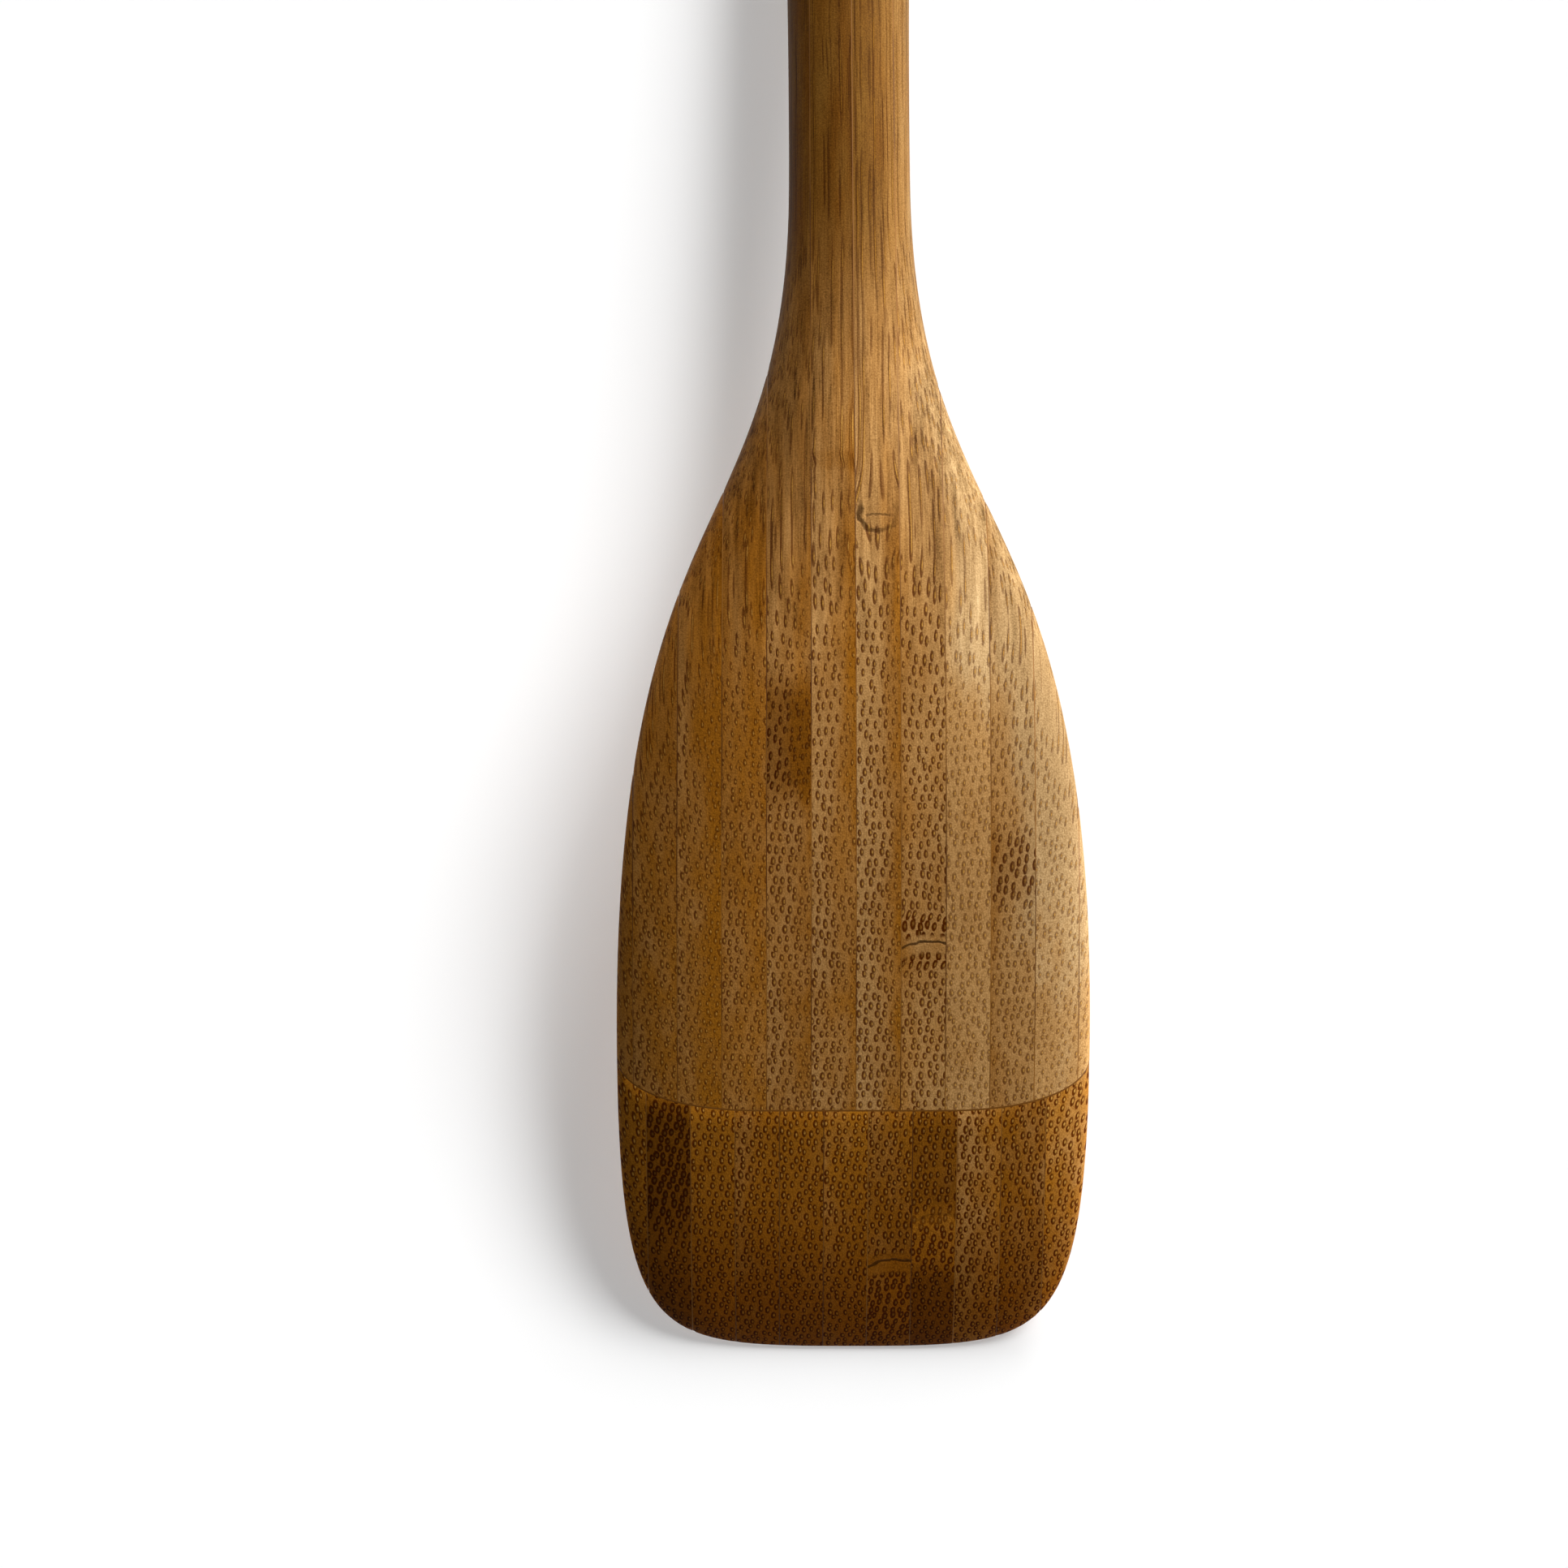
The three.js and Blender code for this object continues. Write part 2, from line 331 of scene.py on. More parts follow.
@dataclass(frozen=True)
class Lamination:
    """The block's strips, glue lines and plies, in millimetres."""

    pitch: float = 6
    glue: float = 0.12
    upper_line: float = 0.3
    lower_line: float = 2
    joint_depth: float = 22.4
    strip_columns: int = 12
    glue_columns: int = 2
    joint_columns: int = 96
    seed_step: float = 3.7
    lower_seed: float = 61.3
    glue_seed_step: float = 2.3
    joint_margin: float = 1
    lines: dict[str, tuple[int, int]] = field(
        default_factory=lambda: {"upper": (-5, 5), "lower": (-5, 4)}
    )
    # In the upper ply, the low and negative warmth of right_3 to right_6 gives the right flank a painted
    # sheen.
    upper: dict[str, Timber] = field(
        default_factory=lambda: {
            "left_6": Timber(1.03, 0.7, 0.7, fade=0.6),
            "left_5": Timber(1.06, 0.65, 0.75, fade=0.6),
            "left_4": Timber(1.0, 0.5, 1.0, fade=0.8),
            "left_3": Timber(0.97, 0.65, 0.75, fade=0.6),
            "left_2": Timber(0.9, 0.35, 0.65, CulmNode(-38, 8, strokes=0.8, shade=0.36)),
            "left_1": Timber(0.96, 0.2, 0.75, CulmNode(1.3, 1.5, strokes=0.4, shade=0.1)),
            "right_1": Timber(1.02, -0.15, 0.8, CulmNode(-7, 3, crack=0.6, loop=1)),
            "right_2": Timber(1.06, 0.5, 0.25, CulmNode(-63.5, 3, strokes=1, crack=1)),
            "right_3": Timber(1.1, 0.2, 0.1, bundle=0.92, ink=0.65),
            "right_4": Timber(
                0.9, 0.5, 0.1, CulmNode(-54.2, 5, strokes=0.7, shade=0.12), bundle=0.9, ink=0.75
            ),
            "right_5": Timber(1.0, 0.0, -0.1, bundle=0.78, ink=0.6),
            "right_6": Timber(1.08, -0.1, -0.1, bundle=0.78, ink=0.55),
        }
    )
    lower: dict[str, Timber] = field(
        default_factory=lambda: {
            "left_6": lower_timber(1.1, 1.2, 1.2),
            "left_5": lower_timber(0.82, 0.95, 0.95, CulmNode(-90, 9, strokes=1, shade=0.3)),
            "left_4": lower_timber(0.98, 0.9, 1.1),
            "left_3": lower_timber(0.9, 0.75, 1.1),
            "left_2": lower_timber(0.9, 1.0, 0.9),
            "left_1": lower_timber(1.0, 0.7, 1.1),
            "right_1": lower_timber(
                0.92, 0.8, 0.9, CulmNode(-107, 5, strokes=0.9, crack=1, shade=-0.25, line=4.5)
            ),
            "right_2": lower_timber(
                0.71, 1.0, 0.9, CulmNode(-100, 4, strokes=0.7, crack=0.3, shade=-0.8, line=3)
            ),
            "right_3": lower_timber(1.04, 0.45, 0.75),
            "right_4": lower_timber(0.84, 0.9, 0.65),
            "right_5": lower_timber(1.12, 0.75, 0.6),
        }
    )

    @staticmethod
    def side(place: int) -> str:
        """Names a place counted outward from a ply's middle glue line."""
        return f"left_{-place}" if place < 0 else f"right_{place}"

    def strips(self, ply: str) -> list[Bar]:
        """Lists the strips of a ply, from its timber.

        Args:
            ply: The ply's name, upper or lower.

        Returns:
            The strips, in the order of the timber.
        """
        stack = self.upper if ply == "upper" else self.lower
        line = self.upper_line if ply == "upper" else self.lower_line
        first_seed = 0 if ply == "upper" else self.lower_seed
        found = []
        for order, (name, timber) in enumerate(stack.items()):
            hand, count = name.split("_")
            step = -int(count) if hand == "left" else int(count) - 1
            left = line + step * self.pitch
            found.append(
                Bar(
                    node=f"{ply}_strip_{name}",
                    left=left + self.glue / 2,
                    right=left + self.pitch - self.glue / 2,
                    columns=self.strip_columns,
                    timber=timber,
                    seed=self.seed_step * order + first_seed,
                )
            )
        return found

    def glue_lines(self, ply: str) -> list[Bar]:
        """Lists the glue lines of a ply.

        Args:
            ply: The ply's name, upper or lower.

        Returns:
            The glue lines from the left.
        """
        line = self.upper_line if ply == "upper" else self.lower_line
        first, last = self.lines[ply]
        found = []
        for step in range(first, last + 1):
            name = "middle" if step == 0 else self.side(step)
            centre = line + step * self.pitch
            found.append(
                Bar(
                    node=f"{ply}_glue_line_{name}",
                    left=centre - self.glue / 2,
                    right=centre + self.glue / 2,
                    columns=self.glue_columns,
                    seed=self.glue_seed_step * step,
                )
            )
        return found


class Term:
    """A shader socket that takes part in Python sums, each of which adds a Math node."""

    def __init__(self, recipe: "Recipe", socket: bpy.types.NodeSocket) -> None:
        """Wraps an output socket of a recipe's node."""
        self.recipe = recipe
        self.socket = socket

    def math(self, operation: str, *values: Any) -> "Term":
        """Adds a Math node on these values."""
        return self.recipe.node("ShaderNodeMath", {"operation": operation}, dict(enumerate(values)))

    def __add__(self, other: Any) -> "Term":
        """Adds."""
        return self.math("ADD", self, other)

    def __radd__(self, other: Any) -> "Term":
        """Adds, with the term second."""
        return self.math("ADD", other, self)

    def __sub__(self, other: Any) -> "Term":
        """Takes away."""
        return self.math("SUBTRACT", self, other)

    def __rsub__(self, other: Any) -> "Term":
        """Takes the term away from something."""
        return self.math("SUBTRACT", other, self)

    def __mul__(self, other: Any) -> "Term":
        """Multiplies."""
        return self.math("MULTIPLY", self, other)

    def __rmul__(self, other: Any) -> "Term":
        """Multiplies, with the term second."""
        return self.math("MULTIPLY", other, self)

    def __truediv__(self, other: Any) -> "Term":
        """Divides."""
        return self.math("DIVIDE", self, other)

    def __rtruediv__(self, other: Any) -> "Term":
        """Divides something by the term."""
        return self.math("DIVIDE", other, self)

    def __abs__(self) -> "Term":
        """Drops the sign."""
        return self.math("ABSOLUTE", self)

    def root(self) -> "Term":
        """Takes the square root."""
        return self.math("SQRT", self)

    def most(self, other: Any) -> "Term":
        """Takes the greater."""
        return self.math("MAXIMUM", self, other)

    def least(self, other: Any) -> "Term":
        """Takes the smaller."""
        return self.math("MINIMUM", self, other)

    def swing(self) -> "Term":
        """Shifts noise about a half, or a share, to swing about 0."""
        return self - 0.5

    def other(self, output: str) -> "Term":
        """Gives another output of the same node."""
        return Term(self.recipe, self.socket.node.outputs[output])

    def rise(self, low: Any, high: Any) -> "Term":
        """Rises smoothly from 0 at low to 1 at high, which may also be the lesser of the two."""
        settings = {"interpolation_type": "SMOOTHSTEP"}
        return self.recipe.node("ShaderNodeMapRange", settings, {0: self, 1: low, 2: high})

    def fall(self, low: Any, high: Any) -> "Term":
        """Falls smoothly from 1 at low to 0 at high."""
        return 1 - self.rise(low, high)


class Recipe:
    """The nodes of one material."""

    def __init__(self, name: str) -> None:
        """Starts a material with an empty node tree."""
        self.material = bpy.data.materials.new(name)
        self.material.use_nodes = True
        self.tree = self.material.node_tree
        self.tree.nodes.clear()

    def node(
        self, kind: str, settings: dict[str, Any], inputs: dict[Any, Any], output: Any = 0
    ) -> Term:
        """Adds a node.

        Args:
            kind: The node's type.
            settings: Properties to set first.
            inputs: Values or terms for its sockets, by name or number.
            output: The output to give back.

        Returns:
            That output as a term.
        """
        made = self.tree.nodes.new(kind)
        for key, value in settings.items():
            setattr(made, key, value)
        for key, value in inputs.items():
            if isinstance(value, Term):
                self.tree.links.new(value.socket, made.inputs[key])
            else:
                made.inputs[key].default_value = value
        return Term(self, made.outputs[output] if len(made.outputs) else None)

    def attribute(self, name: str) -> Term:
        """Reads a number that the mesh carries."""
        return self.node("ShaderNodeAttribute", {"attribute_name": name}, {}, "Fac")

    def split(self, vector: Term) -> tuple[Term, Term, Term]:
        """Takes a vector apart."""
        x = self.node("ShaderNodeSeparateXYZ", {}, {0: vector})
        return x, x.other("Y"), x.other("Z")

    def join(self, x: Any, y: Any, z: Any) -> Term:
        """Puts a vector together."""
        return self.node("ShaderNodeCombineXYZ", {}, {0: x, 1: y, 2: z})

    def mix(self, share: Any, first: Any, second: Any, blend: str = "MIX") -> Term:
        """Mixes two colours."""
        settings = {"data_type": "RGBA", "blend_type": blend}
        return self.node("ShaderNodeMix", settings, {0: share, 6: first, 7: second}, 2)

    def noise(self, vector: Term, scale: float, detail: float = 2.0) -> Term:
        """Gives even noise about a half."""
        return self.node("ShaderNodeTexNoise", {}, {"Vector": vector, "Scale": scale, "Detail": detail})

    def finish(self, inputs: dict[str, Any]) -> bpy.types.Material:
        """Ends the recipe with a Principled surface.

        Args:
            inputs: The surface's values and terms, by socket.

        Returns:
            The material.
        """
        surface = self.node("ShaderNodeBsdfPrincipled", {}, inputs)
        self.node("ShaderNodeOutputMaterial", {}, {"Surface": surface})
        return self.material


@dataclass(frozen=True)
class Place:
    """A place in the block in millimetres, and across its strip from 0 to 1, as terms of a recipe."""

    recipe: Recipe
    block: Term
    x: Term
    y: Term
    z: Term
    across: Term
    seed: Term


@dataclass(frozen=True)
class Grain:
    """Noise drawn out along the fibres: its scales across and along them, and its finer layers."""

    across: float
    along: float
    detail: float

    def noise(self, place: Place, shift: Any) -> Term:
        """Gives the noise at a place.

        Args:
            place: The place.
            shift: How far it is shifted across, so that strips differ.

        Returns:
            Noise about a half.
        """
        x = place.x * self.across + shift
        spot = place.recipe.join(x, place.y * self.along, place.z * self.across)
        return place.recipe.noise(spot, 1.0, self.detail)


@dataclass(frozen=True)
class Region:
    """A part of the shape: where it starts and is full across and along, and its strength there."""

    x: Span
    y: Span
    amount: float

    def share(self, place: Place) -> Term:
        """Gives its strength at a place."""
        return place.x.rise(*self.x) * place.y.rise(*self.y) * self.amount


@dataclass(frozen=True)
class Marks:
    """What a stem joint does at a place, as terms.

    A place lies past the joint by some millimetres, by an offset in shares of the joint's reach, and
    aside from the knot's middle. The rest are strengths.
    """

    past: Term
    offset: Term
    band: Term
    near: Term
    aside: Term
    knot: Term
    line: Term
    loop: Term
    clear: Term


@dataclass(frozen=True)
class StemJoints:
    """The marks that joints of the stem leave, in millimetres and in shares of a strip's width."""

    wobble_scale: float = 0.7
    ragged: float = 3
    band: Span = (0.5, 1.3)
    knot_half: float = 0.42
    crest: float = 0.65
    bow: float = 2
    line_wobble: float = 0.6
    line: Span = (0.06, 0.24)
    line_ends: Span = (0.6, 0.75)
    bare_shift: float = 0.3
    bare: Span = (0.7, 1.4)
    knot_depth: float = 2.3
    knot_wobble: float = 0.5
    knot_arms: Span = (0.8, 2.6)
    knot_ink: float = 0.7
    knot_ink_slope: float = 0.3

    def marks(self, place: Place, patch: Term) -> Marks:
        """Works out the marks at a place.

        The arched line is a parabola across the strip. The knot is the lower half of an oval with
        straight arms above it. A knot's own line is straight and stops short of the oval.

        Args:
            place: The place.
            patch: Patchy noise, for the ragged ends.

        Returns:
            The marks.
        """
        recipe = place.recipe
        wobble = recipe.noise(place.block, self.wobble_scale).swing()
        past = place.y - recipe.attribute("culm_at")
        offset = (past + patch.swing() * self.ragged) / recipe.attribute("culm_reach")
        band = abs(offset).fall(*self.band)
        crack = recipe.attribute("culm_crack")
        knot = recipe.attribute("culm_loop")
        aside = place.across.swing() / self.knot_half
        from_crest = place.across - self.crest
        bow = from_crest * from_crest * (self.bow - knot * self.bow)
        arch = past - recipe.attribute("culm_line") + bow + wobble * self.line_wobble
        ends = 1 - knot * abs(aside).rise(*self.line_ends)
        below = past.least(0) / self.knot_depth
        oval = (aside * aside + below * below).root() + wobble * self.knot_wobble
        loop = abs(oval - 1).fall(*self.line) * past.fall(*self.knot_arms)
        return Marks(
            past=past,
            offset=offset,
            band=band,
            near=band * recipe.attribute("culm_strokes"),
            aside=aside,
            knot=knot,
            line=abs(arch).fall(*self.line) * crack * ends,
            loop=loop * (self.knot_ink - aside * self.knot_ink_slope) * knot,
            clear=abs(arch + self.bare_shift).fall(*self.bare) * crack,
        )


@dataclass(frozen=True)
class Warmth:
    """How far the wood is from the stem's pale inner side, 0, to its warm outer side, 1; below 0 it is a
    painted sheen, which the handle's right side, the right shoulder and the right flank get.
    """

    patchy: float = 0.9
    grip: Span = (-20, 15)
    grip_share: float = 0.65
    grip_warmth: float = 0.4
    # The handle's right side is turned to the painted sheen.
    grip_painted_light_side: Span = (2, 9)
    grip_painted_sheen: float = 1
    # Painted sheen on the right shoulder and right flank, taken off the warmth.
    painted_light_shoulders: tuple[Region, ...] = (
        Region((8, 18), (-48, -22), 0.7),
        Region((17, 24), (-80, -55), 0.6),
    )

    def zone(self, place: Place, patch: Term, shade: Term) -> Term:
        """Gives the warmth at a place, with the painted sheen on the handle's right side, the right
        shoulder and the right flank.

        Args:
            place: The place.
            patch: Patchy noise.
            shade: How much darker a stem joint is there.

        Returns:
            The warmth.
        """
        warm = place.recipe.attribute("warm")
        on_grip = place.y.rise(*self.grip) * self.grip_share
        grip = self.grip_warmth - place.x.rise(*self.grip_painted_light_side) * self.grip_painted_sheen
        zone = warm + (grip - warm) * on_grip + patch.swing() * self.patchy + shade.most(0)
        for shoulder in self.painted_light_shoulders:
            zone = zone - shoulder.share(place)
        return zone


@dataclass(frozen=True)
class BundleRows:
    """Fibre bundles scattered in rows over the block's end grain, each row set off from the last."""

    cell: float = 1
    row_height: float = 0.68
    stagger: float = 0.38
    scatter: float = 0.5

    def nearest(self, place: Place, x: Term, row: Term) -> tuple[Term, Term, Term]:
        """Finds the nearest bundle.

        Args:
            place: The place.
            x: Place across, already wandering.
            row: Depth counted in rows of bundles, already wandering.

        Returns:
            How far the place is right of the bundle's middle and above it, and a random number for
            each bundle.
        """
        recipe = place.recipe
        column = x / self.cell + place.seed + row * self.stagger
        nearest = recipe.node(
            "ShaderNodeTexVoronoi",
            {"voronoi_dimensions": "2D"},
            {"Vector": recipe.join(column, row, 0), "Scale": 1.0, "Randomness": self.scatter},
            "Position",
        )
        middle_column, middle_row, _ = recipe.split(nearest)
        up = row - middle_row
        right = column - middle_column - up * self.stagger
        chance, _, _ = recipe.split(nearest.other("Color"))
        return right * self.cell, up * self.row_height, chance


@dataclass(frozen=True)
class WideBundles(BundleRows):
    """The wide bundles of the stem's inner side: a dark ring round a light core, the ring darker on its
    left as painted shade and the core shifted right as a painted highlight.
    """

    cell: float = 1.1
    size: float = 0.25
    size_swing: float = 0.08
    low_blade: Span = (-60, -30)
    low_blade_gain: float = 0.06
    outer_loss: float = 0.08
    joint_gain: float = 0.06
    joint_lean: float = 0.3
    painted_highlight_shift: float = 0.06
    painted_shade_side: Span = (-0.8, 0.8)
    ink: float = 0.7
    painted_shade_ink: float = 0.25
    grip: Span = (-25, 10)
    grip_fade: float = 0.3
    outer_fade: float = 0.45
    joint_ink: float = 0.35
    ring: Span = (0.85, 1.15)
    core: Span = (0.2, 0.55)
    joint_core_loss: float = 0.6

    def draw(self, place: Place, marks: Marks, x: Term, row: Term, outer: Term) -> tuple[Term, Term]:
        """Draws the bundles.

        Args:
            place: The place.
            marks: What a stem joint does there.
            x: Place across, already wandering.
            row: Depth in rows, already wandering.
            outer: How far the wood is from the stem's outer side.

        Returns:
            Strength of the rings, darker on their left as painted shade, and of the cores, shifted right
            as a painted highlight.
        """
        right, up, chance = self.nearest(place, x, row)
        size = self.size + place.y.fall(*self.low_blade) * self.low_blade_gain
        size = size - outer * self.outer_loss + chance.swing() * self.size_swing
        size = (size + marks.near * self.joint_gain) * place.recipe.attribute("bundle")
        right = right + up * marks.near * self.joint_lean
        middle = (right * right + up * up).root() / size
        # The core shifted right is a painted highlight, and the ring's darker left side is painted
        # shade.
        shifted = right - self.painted_highlight_shift
        heart = (shifted * shifted + up * up).root() / size
        left = (right / size).fall(*self.painted_shade_side)
        ink = self.ink + left * self.painted_shade_ink - place.y.rise(*self.grip) * self.grip_fade
        ink = ink * (1 - outer * self.outer_fade) * place.recipe.attribute("ink")
        ink = (ink + marks.near * self.joint_ink).least(1)
        ring = middle.fall(*self.ring) * ink * (1 - marks.clear)
        core = heart.fall(*self.core) * (1 - marks.clear) * (1 - marks.near * self.joint_core_loss)
        return ring, core


@dataclass(frozen=True)
class FineBundles(BundleRows):
    """The fine bundles of the stem's outer side: a faint ring, darker on its left edge as painted shade,
    and a painted highlight on its right.
    """

    cell: float = 0.85
    rows: float = 1.25
    row_shift: float = 0.37
    size: float = 0.17
    size_swing: float = 0.2
    size_middle: float = 0.6
    least_size: float = 0.01
    painted_shade_side: Span = (-0.7, 0.7)
    ring: Span = (0.8, 1.4)
    ink: float = 0.2
    painted_shade_ink: float = 0.5
    core: Span = (0.2, 0.8)

    def draw(self, place: Place, marks: Marks, x: Term, row: Term, outer: Term) -> tuple[Term, Term]:
        """Draws the bundles.

        Args:
            place: The place.
            marks: What a stem joint does there.
            x: Place across, already wandering.
            row: Depth in rows of wide bundles, already wandering.
            outer: How far the wood is from the stem's outer side.

        Returns:
            Strength of the rings, darker on their left as painted shade, and of the painted highlights
            on their right.
        """
        right, up, chance = self.nearest(place, x, row * self.rows + self.row_shift)
        size = self.size * outer + (chance - self.size_middle) * self.size_swing
        reach = (right * right + up * up).root() / size.most(self.least_size)
        # Painted shade on each bundle's left edge and a painted highlight on its right
        left = (right / self.size).fall(*self.painted_shade_side)
        ring = reach.fall(*self.ring) * (self.ink + left * self.painted_shade_ink) * (1 - marks.clear)
        core = reach.fall(*self.core) * (1 - left) * (1 - marks.clear)
        return ring, core


@dataclass(frozen=True)
class Tone:
    """How light the wood is, from fibre and speckle to broad patches, with painted light and painted
    shade on parts of the shape.
    """

    streak: Grain = Grain(1, 0.05, 3)
    broad: Grain = Grain(0.12, 0.03, 2)
    waist: Span = (-40, -12)
    waist_streak: float = 1.8
    grip: Span = (5, 35)
    grip_streak_loss: float = 1.1
    fibre: float = 0.45
    neck: Span = (-20, 10)
    neck_fibre: float = 0.8
    handle: Span = (10, 35)
    handle_fibre_loss: float = 0.6
    grit: float = 1.1
    broad_amount: float = 0.4
    # Painted light on the lower blade, and painted shade on the neck and handle, on their flanks, on the
    # left of the waist, on the left shoulder and on the right flank.
    tip: Span = (-84, -60)
    tip_painted_light: float = 0.15
    neck_painted_shade: Span = (-40, -5)
    neck_loss: float = 0.1
    flank: Span = (3, 12)
    flank_along: Span = (-25, -3)
    flank_painted_shade: float = 0.26
    waist_left: Region = Region((-2, -8), (-12, 8), 0.28)
    waist_left_end: Span = (14, 32)
    painted_light_shoulders: tuple[Region, ...] = (
        Region((-9, -24), (-65, -35), 0.22),
        Region((19, 27), (-60, -38), 0.2),
    )
    green_depth: float = 0.15
    blue_depth: float = 0.4

    def light(self, place: Place, shade: Term, fibre: Term, grit: Term) -> Term:
        """Works out the tone at a place, with its painted light and painted shade.

        Args:
            place: The place.
            shade: How much darker a stem joint is there.
            fibre: Noise of the fine fibre.
            grit: Noise of the speckle.

        Returns:
            The tone, with 1 for the colours as they are written.
        """
        y = place.y
        streaky = y.rise(*self.waist) * self.waist_streak - y.rise(*self.grip) * self.grip_streak_loss
        fibrous = self.fibre + y.rise(*self.neck) * self.neck_fibre
        fibrous = fibrous - y.rise(*self.handle) * self.handle_fibre_loss
        light = 1 + self.streak.noise(place, place.seed).swing() * streaky
        light = light + fibre.swing() * fibrous + grit.swing() * self.grit
        light = light + self.broad.noise(place, place.seed).swing() * self.broad_amount
        light = light * place.recipe.attribute("tone") * (1 - shade)
        # Painted light on the lower blade towards the front edge
        light = light * (1 + y.fall(*self.tip) * self.tip_painted_light)
        # Painted shade on the neck and handle
        light = light * (1 - y.rise(*self.neck_painted_shade) * self.neck_loss)
        # Painted shade on the flanks of the neck and handle, on the left of the waist, on the left
        # shoulder and on the right flank
        flank = abs(place.x).rise(*self.flank) * y.rise(*self.flank_along)
        light = light * (1 - flank * self.flank_painted_shade)
        light = light * (1 - self.waist_left.share(place) * y.fall(*self.waist_left_end))
        for shoulder in self.painted_light_shoulders:
            light = light * (1 - shoulder.share(place))
        return light

    def tint_by_tone(self, light: Term) -> Term:
        """Turns a tone, its painted light and shade included, into a colour to multiply by: darker tone
        is warmer, lighter tone paler.
        """
        green = light * (1 - self.green_depth + light * self.green_depth)
        blue = light * (1 - self.blue_depth + light * self.blue_depth)
        return light.recipe.join(light, green, blue)


@dataclass(frozen=True)
class BambooFinish:
    """Oiled bamboo as a solid grain: fibre bundles that run along the block's Y axis.

    Its colour also carries painted light: a painted sheen on the right shoulder, right flank and the
    handle's right side, painted shade on the neck, handle, flanks, left shoulder and front edge, painted
    light on the lower blade, and each fibre bundle painted darker on its left and lighter on its right.
    Lengths are in millimetres of the block. A pair of numbers is where something starts and where it is
    full.
    """

    name: str = "oiled_bamboo"
    # A painted sheen, the pale colour of the lit right flank
    painted_sheen: Colour = colour(184, 149, 102)
    pale: Colour = colour(171, 127, 74)
    warm: Colour = colour(147, 91, 20)
    ring: Colour = colour(80, 34, 1)
    core: Colour = colour(192, 140, 62)
    stroke: Colour = colour(52, 26, 4)
    # Painted shade over the handle, less of it on the handle's right side
    grip_painted_shade: Colour = (0.48, 0.41, 0.2, 1)
    grip_painted_shade_along: Span = (8, 45)
    grip_painted_light_side: Span = (2, 8)
    grip_right_saving: float = 0.45
    # Painted shade at the front edge
    tip_painted_shade: Colour = (0.6, 0.47, 0.22, 1)
    tip_painted_shade_along: Span = (-113, -85)
    joints: StemJoints = StemJoints()
    warmth: Warmth = Warmth()
    wide: WideBundles = WideBundles()
    fine: FineBundles = FineBundles()
    tone: Tone = Tone()
    patch: Grain = Grain(0.35, 0.06, 2)
    drift: Grain = Grain(0.11, 0.05, 1)
    fibre: Grain = Grain(5, 0.22, 2)
    grit_scale: float = 4.5
    grit_detail: float = 1
    sway_across: float = 0.8
    sway_rows: float = 2.4
    lean: float = 0.6
    parting: float = 1.1
    parting_reach: float = 9
    rows_per_root: float = 17
    rows_per_seed: float = 1.7
    depth_shift: float = 4
    outer: Span = (0.35, 0.95)
    painted_sheen_zone: Span = (-0.7, 0)
    warm_zone: Span = (0, 1)
    core_share: float = 0.65
    fine_painted_highlight_share: float = 0.5
    line_share: float = 0.8
    soak_scale: float = 0.06
    soak: Span = (0.5, 0.75)
    stain_side: Span = (0.47, 0.5)
    stain_share: float = 0.3
    core_height: float = 0.012
    ring_depth: float = 0.01
    fibre_height: float = 0.03
    grit_height: float = 0.02
    line_depth: float = 0.08
    roughness: float = 0.44
    grit_roughness: float = 0.2
    ring_roughness: float = 0.1
    shine: float = 0.02

    def place(self, recipe: Recipe, shape: CarvedShape) -> Place:
        """Finds the place in the block in millimetres, before the carved block was tilted.

        Args:
            recipe: The material's nodes.
            shape: The carved shape, for the block's tilt and place.

        Returns:
            The place.
        """
        inputs = {
            "Vector": recipe.node("ShaderNodeTexCoord", {}, {}, "Object"),
            "Location": [value * MM for value in shape.place],
            "Rotation": [shape.tilt, 0, 0],
            "Scale": [MM, MM, MM],
        }
        block = recipe.node("ShaderNodeMapping", {"vector_type": "TEXTURE"}, inputs)
        x, y, z = recipe.split(block)
        return Place(recipe, block, x, y, z, recipe.attribute("across"), recipe.attribute("seed"))

    def wander(self, place: Place, marks: Marks) -> tuple[Term, Term]:
        """Lets bundles wander a little along their length, and lean and part at a stem joint.

        Rows are counted by the root of the depth, so that bundles cut at a flat slant near the
        handle don't grow too long.

        Args:
            place: The place.
            marks: What a stem joint does there.

        Returns:
            The wandering place across and the depth in rows of bundles.
        """
        sway = self.drift.noise(place, place.seed)
        sway_x, sway_z, _ = place.recipe.split(sway.other("Color"))
        parting = marks.aside * marks.knot * abs(marks.past).fall(0, self.parting_reach)
        x = place.x + sway_x.swing() * self.sway_across
        x = x + marks.offset * marks.near * self.lean - parting * self.parting
        depth = (self.depth_shift - place.z).most(0)
        row = depth.root() * self.rows_per_root + sway_z.swing() * self.sway_rows
        return x, row + place.seed * self.rows_per_seed

    def stain(self, place: Place) -> Term:
        """Gives how much glue has soaked into the strip's sides, which comes and goes."""
        recipe = place.recipe
        spot = recipe.join(place.seed, place.y * self.soak_scale, place.z * self.soak_scale)
        soak = recipe.noise(spot, 1.0).rise(*self.soak)
        return abs(place.across.swing()).rise(*self.stain_side) * soak * self.stain_share

    def material(self, shape: CarvedShape) -> bpy.types.Material:
        """Builds the material.

        Args:
            shape: The carved shape, for the block's tilt and place.

        Returns:
            The material.
        """
        recipe = Recipe(self.name)
        place = self.place(recipe, shape)
        patch = self.patch.noise(place, place.seed)
        marks = self.joints.marks(place, patch)
        shade = marks.band * recipe.attribute("culm_shade")
        x, row = self.wander(place, marks)

